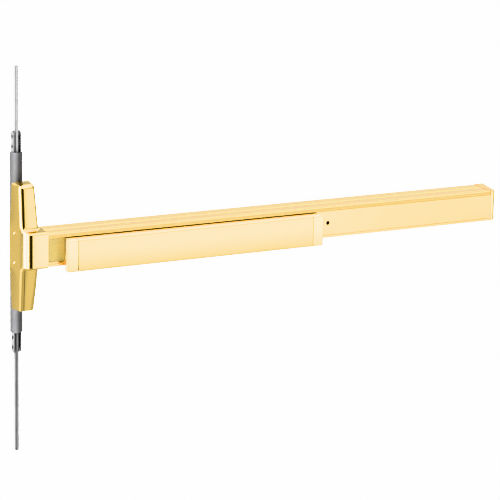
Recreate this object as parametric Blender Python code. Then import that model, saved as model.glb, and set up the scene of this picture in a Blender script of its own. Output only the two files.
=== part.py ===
"""Vertical rod exit device with a push pad, for a narrow door stile.

Frame: X runs along the bar towards the hinge side, -Y faces the room, the door's
face is the plane Y = 0 and everything at Y > 0 sits inside the stile. Z is up and
Z = 0 is the middle height of the bar. Lengths below are millimetres; they are
scaled to metres when a mesh is made. "d" is the distance in front of the door face,
so Y = -d.
"""
import math

import bmesh
import bpy
from mathutils import Matrix, Vector

MM = 0.001
GAP = 0.3                     # clearance between pieces that touch

# ---------------------------------------------------------------- dimensions
# centre case cover
COVER_TOP = 101.9             # half height
COVER_HALF_MID = 21.1         # half width at the back, at the bar
COVER_HALF_ROOT = 19.55       # half width where the arm's taper starts
COVER_HALF_END = 16.85        # half width at the arms' ends
TAPER_FROM, TAPER_TO = 27.0, 46.0
ARM_DEPTH_ROOT = 35.0
ARM_DEPTH_END = 26.4
ARM_FRONT_ROOT = 14.2         # half width of the arm's front at its root
ARM_FRONT_END = 11.9
ARM_LEFT_R, ARM_RIGHT_R = 6.0, 3.4
NOSE_R = 5.0                  # rounding of the upper end towards the room
NOSE_DROP = 2.5               # the upper end falls by this much towards the room
FOOT_R = 1.2                  # the lower end is cut square, its edge barely broken
WALL = 2.7
BLOCK_DEPTH = 56.7
BLOCK_LEFT = -12.9
BLOCK_RIGHT = 21.15
BLOCK_CORNER_R = 7.6
BLOCK_TOP_BACK = 32.4         # half height of the block 21.5 in front of the door
BLOCK_SLOPE = 0.101

# mechanism case, an extrusion
CASE_X0, CASE_X1 = 21.45, 870.3
CASE_HALF = 27.55
CASE_DROP = 0.0608            # the top falls towards the front
CASE_TOP_DEPTH = 51.6
CASE_FRONT = 53.1
CASE_WALL = 2.4
GROOVES = (23.6, 43.6)
LIP_BOTTOM = 18.8
LOWER_LIP = -20.9
LEDGE = -23.2

# front covers
FILLER_X1 = 53.0
COVER_X0, COVER_X1 = 515.0, 870.0

# push pad
PAD_X0, PAD_X1 = 68.0, 500.0
PAD_FRONT = 69.0
PAD_TOP, PAD_BOTTOM = 17.0, -36.2
PAD_WALL = 2.3
PAD_TOP_R = 3.8
PAD_BACK_TOP, PAD_BACK_BOTTOM = 52.8, 50.0
CAP_LENGTH = 19.8
CAP_LIP = 5.4
PAD_TRAVEL = 12.5

# pad levers
LEVER_X = (150.0, 455.0)
LEVER_D = 28.7
LEVER_ARM = 35.0
LEVER_TILT = math.asin(PAD_TRAVEL / 2 / LEVER_ARM)
NOSE_RADIUS = 3.0
BAR_D0, BAR_D1 = 10.0, 13.0
BAR_HALF = 10.5
BAR_X0, BAR_X1 = 5.5, 552.0
BAR_TRAVEL = 2 * (LEVER_D - 0.5 * (BAR_D0 + BAR_D1)) * math.tan(LEVER_TILT)

# lift arms, tube and rods
ROD_TRAVEL = 11.0
LIFT_X, LIFT_Z = 12.5, 13.5
LIFT_ARM = 13.5
LIFT_TILT = math.asin(ROD_TRAVEL / 2 / LIFT_ARM)
LIFT_DRIVE = BAR_TRAVEL / 2 / math.sin(LIFT_TILT)
TUBE_Y = 19.4
TUBE_R, TUBE_INNER = 10.6, 9.5
TUBE_HALF = 147.0
CLEVIS_HALF, CLEVIS_WALL = 6.9, 1.6
CLEVIS_FRONT, CLEVIS_BACK = TUBE_Y - 6.0, TUBE_Y + 7.6
CLEVIS_END = 181.4
HEX_AF = 8.0
ROD_TOP, ROD_BOTTOM, ROD_INNER = 285.3, -346.4, 100.0
RIVET_Z = (156.0, 172.0)

# dogging
DOG_X, DOG_Z = 537.5, -2.0
DOG_TURN = math.radians(80)

# end cap
END_BACK, END_FRONT = 20.0, 6.5   # length of the cap at the door and at its front corner

# ---------------------------------------------------------------- helpers
for old in list(bpy.data.objects):
    bpy.data.objects.remove(old, do_unlink=True)
SCENE = bpy.context.scene


def material(name, rgb, rough, metal):
    m = bpy.data.materials.new(name)
    m.use_nodes = True
    b = m.node_tree.nodes["Principled BSDF"]
    b.inputs["Base Color"].default_value = (*rgb, 1.0)
    b.inputs["Roughness"].default_value = rough
    b.inputs["Metallic"].default_value = metal
    m.diffuse_color = (*rgb, 1.0)
    return m


BRASS = material("polished_brass", (0.88, 0.64, 0.24), 0.22, 1.0)
BRUSHED = material("brushed_brass", (0.82, 0.58, 0.22), 0.36, 1.0)
PALE = material("pale_brass", (0.95, 0.78, 0.45), 0.3, 1.0)
STEEL = material("zinc_steel", (0.62, 0.62, 0.63), 0.35, 1.0)
DARK = material("dark_steel", (0.09, 0.09, 0.09), 0.45, 1.0)
SPRING = material("spring_steel", (0.4, 0.4, 0.42), 0.3, 1.0)


def place(name, bm, mat, origin=(0, 0, 0), parent=None, smooth=True):
    """Make an object from a mesh given in world millimetres."""
    bmesh.ops.recalc_face_normals(bm, faces=bm.faces)
    bmesh.ops.translate(bm, verts=bm.verts, vec=-Vector(origin))
    bmesh.ops.scale(bm, verts=bm.verts, vec=(MM, MM, MM))
    me = bpy.data.meshes.new(name)
    bm.to_mesh(me)
    bm.free()
    if smooth:
        me.shade_smooth()
        me.set_sharp_from_angle(angle=math.radians(32))
    ob = bpy.data.objects.new(name, me)
    SCENE.collection.objects.link(ob)
    base = Vector((0, 0, 0))
    if parent is not None:
        ob.parent = parent
        base = parent.location / MM
    ob.location = (Vector(origin) - base) * MM
    if mat is not None:
        me.materials.append(mat)
    return ob


def axis_empty(name, at):
    e = bpy.data.objects.new(name, None)
    e.empty_display_size = 0.02
    e.location = Vector(at) * MM
    SCENE.collection.objects.link(e)
    return e


def helper(name, bm, target):
    """A cutter or a join piece: parented like its target, left out of the part."""
    ob = place(name, bm, None, smooth=False)
    ob.hide_render = True
    ob.display_type = 'WIRE'
    return ob


def modify(ob, kind, other, name):
    m = ob.modifiers.new(name, 'BOOLEAN')
    m.operation = kind
    m.solver = 'EXACT'
    m.object = other
    return m


CUTS = [0]


def cut(ob, bm):
    CUTS[0] += 1
    modify(ob, 'DIFFERENCE', helper("cut_%02d" % CUTS[0], bm, ob), "cut")


def join(ob, bm):
    CUTS[0] += 1
    modify(ob, 'UNION', helper("join_%02d" % CUTS[0], bm, ob), "join")


def prism(points, axis, a, b):
    """Extrude a closed outline along an axis, from a to b.

    Outline points are (y, z) for X, (x, z) for Y and (x, y) for Z."""
    bm = bmesh.new()

    def at(p, h):
        if axis == 'X':
            return (h, p[0], p[1])
        if axis == 'Y':
            return (p[0], h, p[1])
        return (p[0], p[1], h)
    verts = [bm.verts.new(at(p, a)) for p in points]
    face = bm.faces.new(verts)
    ext = bmesh.ops.extrude_face_region(bm, geom=[face])
    shift = Vector(at((0, 0), b - a)) if axis != 'Y' else Vector((0, b - a, 0))
    if axis == 'X':
        shift = Vector((b - a, 0, 0))
    elif axis == 'Z':
        shift = Vector((0, 0, b - a))
    bmesh.ops.translate(bm, vec=shift,
                        verts=[g for g in ext["geom"] if isinstance(g, bmesh.types.BMVert)])
    return bm


def box(x0, x1, y0, y1, z0, z1):
    return prism([(x0, y0), (x1, y0), (x1, y1), (x0, y1)], 'Z', z0, z1)


def circle(cx, cy, r, n=24, turn=0.0):
    return [(cx + r * math.cos(turn + 2 * math.pi * k / n),
             cy + r * math.sin(turn + 2 * math.pi * k / n)) for k in range(n)]


def rod(axis, c, r, a, b, n=24):
    return prism(circle(c[0], c[1], r, n), axis, a, b)


def rounded(points, steps=4):
    """Round the corners of a closed outline. Points are (x, y) or (x, y, radius)."""
    out = []
    n = len(points)
    for k, p in enumerate(points):
        r = p[2] if len(p) > 2 else 0.0
        c = Vector(p[:2])
        if r <= 0:
            out.append(tuple(c))
            continue
        u = (Vector(points[k - 1][:2]) - c).normalized()
        v = (Vector(points[(k + 1) % n][:2]) - c).normalized()
        half = math.acos(max(-1, min(1, u.dot(v)))) / 2
        t = r / math.tan(half)
        centre = c + (u + v).normalized() * (r / math.sin(half))
        s, e = c + u * t - centre, c + v * t - centre
        a0 = math.atan2(s.y, s.x)
        a1 = math.atan2(e.y, e.x)
        sweep = (a1 - a0 + math.pi) % (2 * math.pi) - math.pi
        for j in range(steps + 1):
            a = a0 + sweep * j / steps
            out.append((centre.x + r * math.cos(a), centre.y + r * math.sin(a)))
    return out


def loft(sections):
    """Skin closed sections with the same number of points, and cap both ends."""
    bm = bmesh.new()
    rows = [[bm.verts.new(p) for p in s] for s in sections]
    for a, b in zip(rows, rows[1:]):
        for k in range(len(a)):
            j = (k + 1) % len(a)
            bm.faces.new((a[k], a[j], b[j], b[k]))
    bm.faces.new(rows[0])
    bm.faces.new(list(reversed(rows[-1])))
    return bm


def turned(profile, axis, centre, n=24):
    """Turn an open profile of (radius, height) points, the ends on the axis."""
    bm = bmesh.new()
    rings = []
    for r, h in profile:
        if r <= 1e-9:
            rings.append([bm.verts.new(_on(axis, centre, 0, 0, h))])
        else:
            rings.append([bm.verts.new(_on(axis, centre, r * math.cos(2 * math.pi * k / n),
                                           r * math.sin(2 * math.pi * k / n), h))
                          for k in range(n)])
    for a, b in zip(rings, rings[1:]):
        for k in range(n):
            j = (k + 1) % n
            if len(a) == 1:
                bm.faces.new((a[0], b[j], b[k]))
            elif len(b) == 1:
                bm.faces.new((a[k], a[j], b[0]))
            else:
                bm.faces.new((a[k], a[j], b[j], b[k]))
    return bm


def _on(axis, c, u, v, h):
    if axis == 'X':
        return (h, c[0] + u, c[1] + v)
    if axis == 'Y':
        return (c[0] + u, h, c[1] + v)
    return (c[0] + u, c[1] + v, h)


def turned_ring(profile, axis, centre, n=32):
    """Turn a closed profile that stays off the axis, such as a tube's wall."""
    bm = bmesh.new()
    rings = [[bm.verts.new(_on(axis, centre, r * math.cos(2 * math.pi * k / n),
                               r * math.sin(2 * math.pi * k / n), h)) for k in range(n)]
             for r, h in profile]
    m = len(rings)
    for i in range(m):
        a, b = rings[i], rings[(i + 1) % m]
        for k in range(n):
            j = (k + 1) % n
            bm.faces.new((a[k], a[j], b[j], b[k]))
    return bm


def flat(points):
    """Outline given as (d, z) or (d, z, r), turned into (y, z, r)."""
    return [(-p[0], p[1], *(p[2:])) for p in points]


def spin_points(points, about, angle):
    c, s = math.cos(angle), math.sin(angle)
    return [(about[0] + (x - about[0]) * c - (y - about[1]) * s,
             about[1] + (x - about[0]) * s + (y - about[1]) * c) for x, y in points]


def link_outline(ends, n=10):
    """Outline of a link: the outer tangents round circles (x, y, r), in order."""
    pts = []
    for x, y, r in ends:
        pts += circle(x, y, r, 4 * n)
    pts = sorted(set((round(x, 6), round(y, 6)) for x, y in pts))

    def half(seq):
        h = []
        for p in seq:
            while len(h) > 1 and ((h[-1][0] - h[-2][0]) * (p[1] - h[-2][1])
                                  - (h[-1][1] - h[-2][1]) * (p[0] - h[-2][0])) <= 1e-9:
                h.pop()
            h.append(p)
        return h[:-1]
    return half(pts) + half(reversed(pts))


# ---------------------------------------------------------------- moving frames
mid_lift = {}
AX_PAD = axis_empty("axis_pad_press", (284.0, -PAD_FRONT, 0))
AX_BAR = axis_empty("axis_tie_bar", (284.0, -0.5 * (BAR_D0 + BAR_D1), 0))
AX_ROD = {1: axis_empty("axis_rod_top", (0, TUBE_Y, 150)),
          -1: axis_empty("axis_rod_bottom", (0, TUBE_Y, -150))}
AX_DOG = axis_empty("axis_dogging", (DOG_X, -50, DOG_Z))


# ---------------------------------------------------------------- centre cover
def back_half(z):
    a = abs(z)
    taper = COVER_HALF_ROOT - (a - TAPER_TO) * (COVER_HALF_ROOT - COVER_HALF_END) / (COVER_TOP - TAPER_TO)
    if a <= TAPER_FROM:
        return COVER_HALF_MID
    if a >= TAPER_TO:
        return taper
    t = (a - TAPER_FROM) / (TAPER_TO - TAPER_FROM)
    t = t * t * (3 - 2 * t)
    return COVER_HALF_MID + t * (taper - COVER_HALF_MID)


def arm_depth(z):
    a = max(0.0, abs(z) - 33.0)
    return ARM_DEPTH_ROOT - a * (ARM_DEPTH_ROOT - ARM_DEPTH_END) / 63.0


def arm_front_half(z):
    a = max(0.0, abs(z) - 33.0)
    return ARM_FRONT_ROOT - a * (ARM_FRONT_ROOT - ARM_FRONT_END) / 63.0


NOSE_START = COVER_TOP - NOSE_DROP - NOSE_R
NOSE_TOP = COVER_TOP - NOSE_DROP


def cover_section(z, inset=0.0):
    """Depth and widths of the cover at a height, rounded over its end."""
    a = abs(z)
    d = arm_depth(z)
    if z < 0:
        if a > COVER_TOP - FOOT_R:
            d -= FOOT_R - math.sqrt(max(0.0, FOOT_R ** 2 - (a - COVER_TOP + FOOT_R) ** 2))
    elif a > NOSE_START:
        full = arm_depth(NOSE_START)
        if a < NOSE_TOP:
            d = full - NOSE_R + math.sqrt(max(0.0, NOSE_R ** 2 - (a - NOSE_START) ** 2))
        else:
            d = (full - NOSE_R) * max(0.03, (COVER_TOP - a) / (COVER_TOP - NOSE_TOP))
    back = back_half(z)
    corner = COVER_TOP - 2.6
    if a > corner:
        back -= 2.6 - math.sqrt(max(0.0, 2.6 ** 2 - (a - corner) ** 2))
    slope = (back_half(z) - arm_front_half(z)) / arm_depth(z)
    return back, back - slope * d, d


def cover_row(z, shrink, back_d):
    back, front, d = cover_section(z)
    slope = (back - front) / max(d, 0.1)
    d = max(0.4, d - shrink)
    b = back - shrink + slope * (-back_d)
    f = max(1.0, back - shrink - slope * d)
    rl = min(ARM_LEFT_R - shrink, 0.45 * d)
    rr = min(max(ARM_RIGHT_R - shrink, 0.8), 0.45 * d)
    pts = rounded([(-b, -back_d), (-f, -d, rl), (f, -d, rr), (b, -back_d)], 5 if shrink == 0 else 2)
    return [(x, y, z) for x, y in pts]


heights = [0, 14, 27, 30.8, 34.6, 38.4, 42.2, 46, 60, 75]
upper = [NOSE_START, NOSE_START + 1.9, NOSE_START + 3.4, NOSE_START + 4.4, NOSE_START + 4.88,
         NOSE_TOP + 0.8, NOSE_TOP + 1.6, COVER_TOP - 0.35, COVER_TOP]
lower = [88, COVER_TOP - 2.6, COVER_TOP - FOOT_R, COVER_TOP - 0.6, COVER_TOP - 0.2, COVER_TOP]
stations = sorted(set([-h for h in heights + lower] + heights + upper))
cover = place("centre_cover", loft([cover_row(z, 0.0, 0.0) for z in stations]), BRASS)


def block_top(d):
    return BLOCK_TOP_BACK - BLOCK_SLOPE * (d - 21.5)


def block_prism(plan):
    """Outline in (x, d) with both ends sloping like the casting's draft."""
    bm = bmesh.new()
    up = [bm.verts.new((x, -d, block_top(d))) for x, d in plan]
    dn = [bm.verts.new((x, -d, -block_top(d))) for x, d in plan]
    bm.faces.new(up)
    bm.faces.new(list(reversed(dn)))
    for k in range(len(plan)):
        j = (k + 1) % len(plan)
        bm.faces.new((up[k], dn[k], dn[j], up[j]))
    return bm, up, dn


plan = rounded([(BLOCK_LEFT, 24), (BLOCK_LEFT, BLOCK_DEPTH, BLOCK_CORNER_R),
                (BLOCK_RIGHT, BLOCK_DEPTH), (BLOCK_RIGHT, 1.0), (10, 1.0)], 8)
bm, up, dn = block_prism(plan)
soft = []
for ring in (up, dn):
    for k in range(9):
        e = bm.edges.get((ring[1 + k], ring[2 + k]))
        if e:
            soft.append(e)
bmesh.ops.bevel(bm, geom=soft, offset=1.5, segments=3, profile=0.5, affect='EDGES')
join(cover, bm)
inner_heights = [0, 27, 34.6, 42.2, 46, 75]
inner = sorted(set([-h for h in inner_heights + [88, COVER_TOP - WALL]]
                   + inner_heights + [NOSE_START - 2.7, NOSE_START, NOSE_START + 1.6]))
cut(cover, loft([cover_row(z, WALL, -1.0) for z in inner]))
cut(cover, prism(rounded([(BLOCK_LEFT + WALL, -15), (BLOCK_LEFT + WALL, -(BLOCK_DEPTH - WALL), 7.0),
                          (BLOCK_RIGHT - WALL, -(BLOCK_DEPTH - WALL)), (BLOCK_RIGHT - WALL, -15)], 5),
                 'Z', -26, 26))
cut(cover, box(14, 26, -48, -3.2, -22, 22))
SIDE_D = 14.2
SIDE_SCREWS = (("top", 23.0), ("bottom", -25.0))
for _, z in SIDE_SCREWS:
    cut(cover, rod('X', (-SIDE_D, z), 1.7, -24, -10, 16))
    cut(cover, rod('X', (-SIDE_D, z), 2.4, -24, -17.5, 16))
for tag, z in SIDE_SCREWS:
    s = place("side_screw_" + tag, turned([(0, -18.9), (1.3, -18.85), (2.0, -18.4), (2.0, -17.9),
                                           (1.3, -17.8), (1.3, -10.4), (0, -10.4)],
                                          'X', (-SIDE_D, z), 16), PALE)

# ---------------------------------------------------------------- centre plate
outline = [(back_half(z) - 4.0, z) for z in (-94, -75, -46, -40, -34, -27, 27, 34, 40, 46, 75, 94)]
outline += [(-x, z) for x, z in reversed(outline)]
plate = place("centre_base_plate", prism(outline, 'Y', -3.0, 0.0), STEEL)
for _, z in SIDE_SCREWS:
    join(plate, box(-14.0, -12.0, -20.0, -1.5, z - 5, z + 5))
    cut(plate, rod('X', (-SIDE_D, z), 1.65, -16, -9, 16))
for s in (1, -1):
    cut(plate, prism([(-4.2, s * 4.9), (4.2, s * 4.9), (4.2, s * 22.1), (-4.2, s * 22.1)], 'Y', -5, 2))
    cut(plate, rod('Y', (LIFT_X, s * LIFT_Z), 2.8, -5, 2))
    cut(plate, rod('Y', (0, s * 87), 2.7, -5, 2))


def screw(name, head_d, tip_d, x, z, head_r=4.2, shank_r=2.3, mat=STEEL, socket=2.0, parent=None):
    """Pan head screw along Y, its head's seat head_d in front of the door."""
    ob = place(name, turned([(0, -head_d - 2.8), (head_r * 0.75, -head_d - 2.8), (head_r, -head_d - 1.9),
                             (head_r, -head_d), (shank_r, -head_d), (shank_r, -tip_d - 1.2),
                             (shank_r * 0.55, -tip_d), (0, -tip_d)], 'Y', (x, z), 20), mat, parent=parent)
    cut(ob, prism(circle(x, z, socket, 6), 'Y', -head_d - 4, -head_d - 1.2))
    return ob


for tag, s in (("top", 1), ("bottom", -1)):
    screw("plate_screw_" + tag, 3.3, -8.2, 0, s * 87)
    saddle = place("tube_saddle_" + tag, box(-9, 9, 3.5, 12.5, s * 87 - 7, s * 87 + 7), STEEL)
    cut(saddle, rod('Z', (0, TUBE_Y), TUBE_R + GAP, s * 87 - 12, s * 87 + 12, 32))
    cut(saddle, rod('Y', (0, s * 87), 2.7, 1, 12))

# ---------------------------------------------------------------- tube and rods
z1 = TUBE_HALF
wall = [(TUBE_R, -z1 + 2.6), (TUBE_R, z1 - 2.6), (TUBE_R - 0.25, z1 - 1.3), (TUBE_R - 0.8, z1 - 0.2),
        (TUBE_INNER, z1), (TUBE_INNER, -z1), (TUBE_R - 0.8, -z1 + 0.2), (TUBE_R - 0.25, -z1 + 1.3)]
tube = place("rod_tube", turned_ring(wall, 'Z', (0, TUBE_Y), 40), STEEL)
for s in (1, -1):
    lo, hi = sorted((s * 4.5, s * 22.5))
    cut(tube, box(-4.4, 4.4, 5, 14, lo, hi))

for tag, s in (("top", 1), ("bottom", -1)):
    par = AX_ROD[s]
    # clevis: a folded channel, open towards the room, with pointed legs
    h, w, f, b = CLEVIS_HALF, CLEVIS_WALL, CLEVIS_FRONT, CLEVIS_BACK
    u = rounded([(-h, f), (-h, b, 3.0), (h, b, 3.0), (h, f), (h - w, f), (h - w, b - w, 1.4),
                 (-h + w, b - w, 1.4), (-h + w, f)], 4)
    z0, z1 = sorted((s * 13.0, s * CLEVIS_END))
    clevis = place("rod_clevis_" + tag, prism(u, 'Z', z0, z1), STEEL, (0, TUBE_Y, s * 150), par)
    e = s * CLEVIS_END
    cut(clevis, prism([(b + 1, e - s * 6.5), (b + 1, e + s * 2), (b - 8.6, e + s * 2), (b - 6.6, e)], 'X', -9, 9))
    cut(clevis, prism([(f - 1, e - s * 4.5), (f - 1, e + s * 2), (f + 6.6, e + s * 2), (f + 4.6, e)], 'X', -9, 9))
    for z in RIVET_Z:
        cut(clevis, rod('X', (TUBE_Y, s * z), 2.2, -12, 12, 20))
    # rod: hexagon bar with two of its corners towards the clevis legs
    ra, rb = (ROD_INNER, ROD_TOP) if s > 0 else (-ROD_INNER, ROD_BOTTOM)
    hexr = HEX_AF / math.sqrt(3)
    small = 0.82 * hexr

    def ring(z, r):
        return [(r * math.cos(math.radians(60 * k)), TUBE_Y + r * math.sin(math.radians(60 * k)), z)
                for k in range(6)]
    bar = place("rod_" + tag, loft([ring(ra, small), ring(ra + s * 1.0, hexr), ring(rb - s * 1.0, hexr),
                                    ring(rb, small)]), STEEL, (0, TUBE_Y, s * 150), par, smooth=False)
    for z in RIVET_Z:
        cut(bar, rod('X', (TUBE_Y, s * z), 2.2, -8, 8, 20))
    if s < 0:
        cut(bar, rod('X', (TUBE_Y, -317.3), 1.8, -8, 8, 20))
    for i, z in enumerate(RIVET_Z):
        place("clevis_rivet_%s_%d" % (tag, i + 1),
              turned([(0, -8.5), (1.6, -8.3), (2.7, -7.8), (3.0, -7.2), (1.9, -7.2), (1.9, 7.2), (3.0, 7.2),
                      (2.7, 7.8), (1.6, 8.3), (0, 8.5)], 'X', (TUBE_Y, s * z), 20),
              PALE, (0, TUBE_Y, s * z), par)
    # carrier that the lift stud moves
    zc = s * (LIFT_Z + ROD_TRAVEL / 2)
    body = rounded([(-5.0, 14.6), (5.0, 14.6), (5.0, 25.1, 1.8), (-5.0, 25.1, 1.8)], 3)
    car = place("rod_carrier_" + tag, prism(body, 'Z', zc - 6, zc + 6), DARK, (0, TUBE_Y, zc), par)
    cut(car, prism([(-3.9, zc - 2.85), (3.5, zc - 2.85), (3.5, zc + 2.85), (-3.9, zc + 2.85)], 'Y', 10, 22.4))

    # lift arm: a bell crank on a pin, with a stud through the plate and the tube
    pivot = (LIFT_X, s * LIFT_Z)
    ax = axis_empty("axis_lift_arm_" + tag, (LIFT_X, -7.0, s * LIFT_Z))
    tilt = LIFT_TILT
    end = (LIFT_X - LIFT_ARM * math.cos(tilt), s * (LIFT_Z + LIFT_ARM * math.sin(tilt)))
    drive = (LIFT_X - LIFT_DRIVE * math.sin(tilt), s * (LIFT_Z - LIFT_DRIVE * math.cos(tilt)))
    arm = place("lift_arm_" + tag,
                prism(link_outline([(*pivot, 5.0), (*end, 4.2)]), 'Y', -8.6, -5.5), STEEL,
                (LIFT_X, -7.0, s * LIFT_Z), ax)
    join(arm, prism(link_outline([(*pivot, 4.6), (*drive, 3.0)]), 'Y', -8.5, -5.6))
    join(arm, rod('Y', drive, 1.7, -13.4, -7.0, 20))
    cut(arm, rod('Y', pivot, 2.8, -10, -4))
    cut(arm, rod('Y', end, 2.8, -10, -4))
    place("lift_stud_" + tag, turned([(0, -9.6), (3.4, -9.6), (3.6, -9.3), (3.6, -8.9), (2.5, -8.9), (2.5, 20.4),
                                      (2.0, 21.0), (0, 21.0)], 'Y', end, 20), DARK, (end[0], 0, end[1]), ax)
    place("lift_pin_" + tag, turned([(0, -9.7), (3.5, -9.7), (3.8, -9.4), (3.8, -9.0), (2.5, -9.0), (2.5, -5.2),
                                     (3.8, -5.2), (3.8, -3.3), (2.5, -3.3), (2.5, -0.4), (0, -0.4)],
                                    'Y', pivot, 20), DARK)


# ---------------------------------------------------------------- mechanism case
def case_top(d):
    return CASE_HALF - CASE_DROP * d


sec = [(0, CASE_HALF, 0.8)]
for g in GROOVES:
    sec += [(g - 1.1, case_top(g - 1.1)), (g - 0.45, case_top(g) - 0.75), (g + 0.45, case_top(g) - 0.75),
            (g + 1.1, case_top(g + 1.1))]
sec += [(CASE_TOP_DEPTH, case_top(CASE_TOP_DEPTH), 1.6), (52.6, LIP_BOTTOM, 0.5), (50.9, LIP_BOTTOM),
        (50.9, LIP_BOTTOM - 0.5), (48.6, LIP_BOTTOM - 0.5), (48.6, case_top(48.6) - CASE_WALL),
        (CASE_WALL, case_top(CASE_WALL) - CASE_WALL), (CASE_WALL, -CASE_HALF + CASE_WALL),
        (48.6, -CASE_HALF + CASE_WALL), (48.6, LOWER_LIP), (51.0, LOWER_LIP), (51.0, LEDGE),
        (CASE_FRONT, LEDGE, 0.5), (CASE_FRONT, -CASE_HALF, 1.0), (0, -CASE_HALF, 0.8)]
case = place("mechanism_case", prism(rounded(flat(sec), 3), 'X', CASE_X0, CASE_X1), BRUSHED)
cut(case, box(847, 880, -6, 3, -12.6, 12.6))

# filler in the recess, and the cover on the right half
fil = [(50.6, LIP_BOTTOM - 0.9, 0.4), (50.6, -20.5, 0.4), (44.5, -20.5), (44.5, -18.6), (48.5, -18.6), (48.5, LIP_BOTTOM - 2.8),
       (44.5, LIP_BOTTOM - 2.8), (44.5, LIP_BOTTOM - 0.9)]
place("front_filler", prism(rounded(flat(fil), 2), 'X', CASE_X0 + 0.05, FILLER_X1), BRUSHED)
cov = [(52.9, LIP_BOTTOM - 0.7, 0.5), (53.0, -22.8, 0.5), (51.3, -22.8), (51.3, -20.5), (44.5, -20.5), (44.5, -18.6),
       (50.4, -18.6), (50.4, LIP_BOTTOM - 2.8), (44.5, LIP_BOTTOM - 2.8), (44.5, LIP_BOTTOM - 0.9),
       (51.2, LIP_BOTTOM - 0.9), (51.2, LIP_BOTTOM - 0.7)]
right = place("cover_plate", prism(rounded(flat(cov), 2), 'X', COVER_X0, COVER_X1), BRUSHED)
cut(right, rod('Y', (DOG_X, DOG_Z), 3.5, -56, -48, 24))

# ---------------------------------------------------------------- push pad
t, b, fr, w = PAD_TOP, PAD_BOTTOM, PAD_FRONT, PAD_WALL
pad_sec = [(PAD_BACK_TOP, t, 0.5), (fr, t, PAD_TOP_R), (fr, b, 2.0), (PAD_BACK_BOTTOM, b, 0.5),
           (PAD_BACK_BOTTOM, b + w, 0.5), (fr - w, b + w), (fr - w, t - w, PAD_TOP_R - w), (PAD_BACK_TOP, t - w, 0.5)]
place("push_pad", prism(rounded(flat(pad_sec), 4), 'X', PAD_X0 + 0.15, PAD_X1 - 0.15), BRASS,
      (284.0, -PAD_FRONT, 0), AX_PAD)


def pad_cap(name, x_joint, side):
    """Cap of the pad: its front reaches past its body as a shallow lip."""
    x_end = x_joint + side * CAP_LENGTH
    x_body = x_end - side * CAP_LIP
    solid = [(PAD_BACK_TOP, t, 0.5), (fr, t, PAD_TOP_R), (fr, b, 2.0), (PAD_BACK_BOTTOM, b, 0.5)]
    lo, hi = sorted((x_joint + side * 0.15, x_end))
    ob = place(name, prism(rounded(flat(solid), 4), 'X', lo, hi), PALE, (x_joint, -PAD_FRONT, 0), AX_PAD)
    cut(ob, prism([(x_body, -66.0), (x_end + side * 1, -66.3), (x_end + side * 1, -40), (x_body, -40)],
                  'Z', b - 1, t + 1))
    lo, hi = sorted((x_joint - side * 1, x_body - side * 2.2))
    hollow = [(40, b + w), (fr - w, b + w), (fr - w, t - w, PAD_TOP_R - w), (40, t - w)]
    cut(ob, prism(rounded(flat(hollow), 4), 'X', lo, hi))
    lo, hi = sorted((x_joint - side * 1, x_body + side * 2))
    cut(ob, box(lo, hi, -66.3, -40, -28.2, -20.3))
    # break the lip's outer edge, then round its lower outer corner, as seen from the front
    cut(ob, prism([(x_end - side * 0.9, -fr), (x_end, -fr + 0.9), (x_end + side * 1, -fr + 0.9),
                   (x_end + side * 1, -fr - 1), (x_end - side * 0.9, -fr - 1)], 'Z', b - 1, t + 1))
    r = 4.0
    corner = [(x_end + side * 1, b - 1), (x_end - side * r, b - 1), (x_end - side * r, b)]
    corner += [(x_end - side * r + side * r * math.sin(a), b + r - r * math.cos(a))
               for a in [math.pi / 2 * k / 6 for k in range(1, 7)]]
    corner += [(x_end + side * 1, b + r)]
    cut(ob, prism(corner, 'Y', -75, -60))
    return ob


pad_cap("pad_cap_left", PAD_X0, -1)
pad_cap("pad_cap_right", PAD_X1, 1)

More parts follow.
